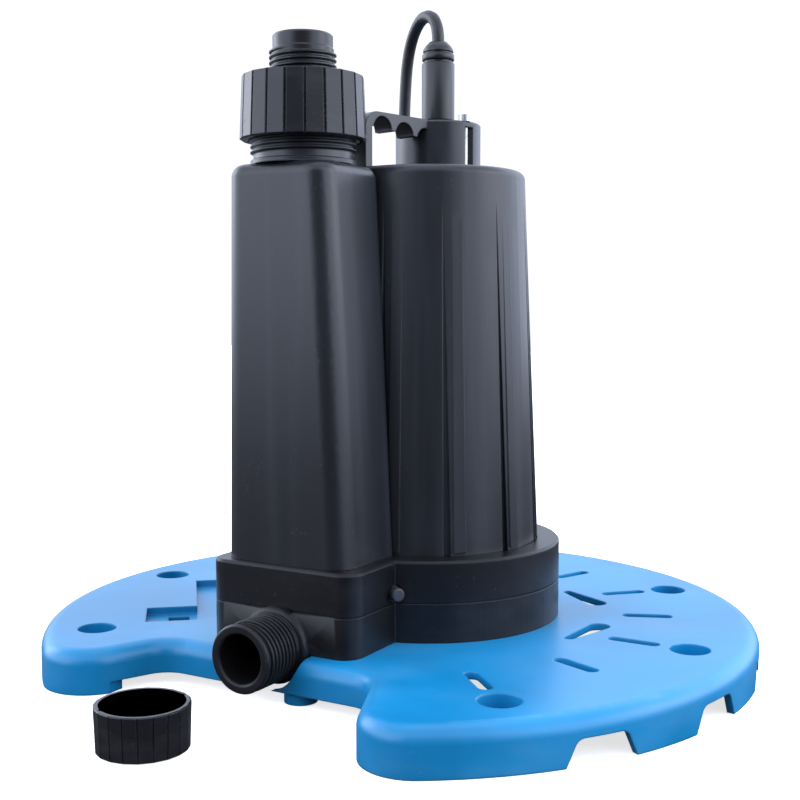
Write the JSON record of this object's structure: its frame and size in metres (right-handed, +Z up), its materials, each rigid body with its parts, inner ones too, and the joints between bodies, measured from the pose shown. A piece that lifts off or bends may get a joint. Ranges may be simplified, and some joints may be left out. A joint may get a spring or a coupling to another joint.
{
  "type": "submersible sump pump",
  "caption": "Submersible utility pump with a tapered motor housing, an upright discharge riser, hose fittings and a round base plate with a bite at the side outlet.",
  "frame": {"origin": "on the motor axis, at the flat bottom of the intake strainer, which rests on the floor with the plate's feet", "axes": "+Z up along the motor shaft and the top outlet, -Y the way the side outlet points"},
  "size_m": [0.3255, 0.4207, 0.2846],
  "materials": {
    "base_blue": "moulded blue ABS, semi-gloss",
    "housing_black": "glass-filled black, fine satin texture",
    "riser_black": "glass-filled black, fine satin texture",
    "casing_black": "black, satin",
    "handle_black": "black, satin",
    "fitting_black": "moulded black, semi-gloss",
    "rubber_black": "soft rubber",
    "cord_black": "PVC jacket",
    "tie_black": "hook-and-loop strap",
    "plug_black": "moulded PVC",
    "brass": "plain brass",
    "steel": "stainless",
    "plastic_grey": "dark grey moulded",
    "seal_dark": "carbon and ceramic",
    "cast_aluminium": "die cast",
    "core_steel": "stacked laminations",
    "winding_copper": "enamelled copper wire",
    "capacitor_shell": "plastic can"
  },
  "bodies": {
    "root": {"base_plate": "base_blue", "motor_housing": "housing_black", "discharge_riser": "riser_black", "lower_casing": "casing_black", "upper_casing": "casing_black", "cord_drum": "handle_black", "carry_handle": "handle_black", "strain_relief": "rubber_black", "casing_gasket": "rubber_black", "housing_gasket": "rubber_black", "power_cord": "cord_black", "cord_coil": "cord_black", "coil_tie": "tie_black", "plug_body": "plug_black", "plug_blades": "brass", "casing_screws": "steel", "base_screws": "steel", "drum_screws": "steel", "motor_bolts": "steel", "lower_bearing": "steel", "upper_bearing": "steel", "vent_plug": "plastic_grey", "cable_gland": "plastic_grey", "intake_strainer": "plastic_grey", "seal_seat": "seal_dark", "lower_end_plate": "cast_aluminium", "upper_bracket": "cast_aluminium", "stator_core": "core_steel", "stator_windings": "winding_copper", "run_capacitor": "capacitor_shell"},
    "rotor": {"motor_shaft": "steel", "impeller": "plastic_grey", "impeller_nut": "steel", "rotary_seal": "seal_dark", "rotor": "core_steel"},
    "adapter": {"hose_adapter": "fitting_black", "adapter_washer": "rubber_black"},
    "nut": {"union_nut": "fitting_black"},
    "cap": {"outlet_cap": "fitting_black", "cap_washer": "rubber_black"}
  },
  "joints": [
    {"name": "rotor_spin", "type": "hinge", "parent": "root", "child": "rotor", "pos_m": [0, 0, 0.09], "axis": [0, 0, 1], "continuous": true},
    {"name": "adapter_lift", "type": "slide", "parent": "root", "child": "adapter", "axis": [0, 0, 1], "range_m": [0, 0.0155]},
    {"name": "nut_turn", "type": "hinge", "parent": "adapter", "child": "nut", "pos_m": [-0.0225, -0.062, 0.23], "axis": [0, 0, 1], "range_deg": [0, 2520]},
    {"name": "cap_lift", "type": "slide", "parent": "root", "child": "cap", "axis": [0, 0, 1], "range_m": [0, 0.05]}
  ],
  "couplings": [
    {"joint": "adapter_lift", "follows": "nut_turn", "m_per_rad": 0.00035152}
  ]
}
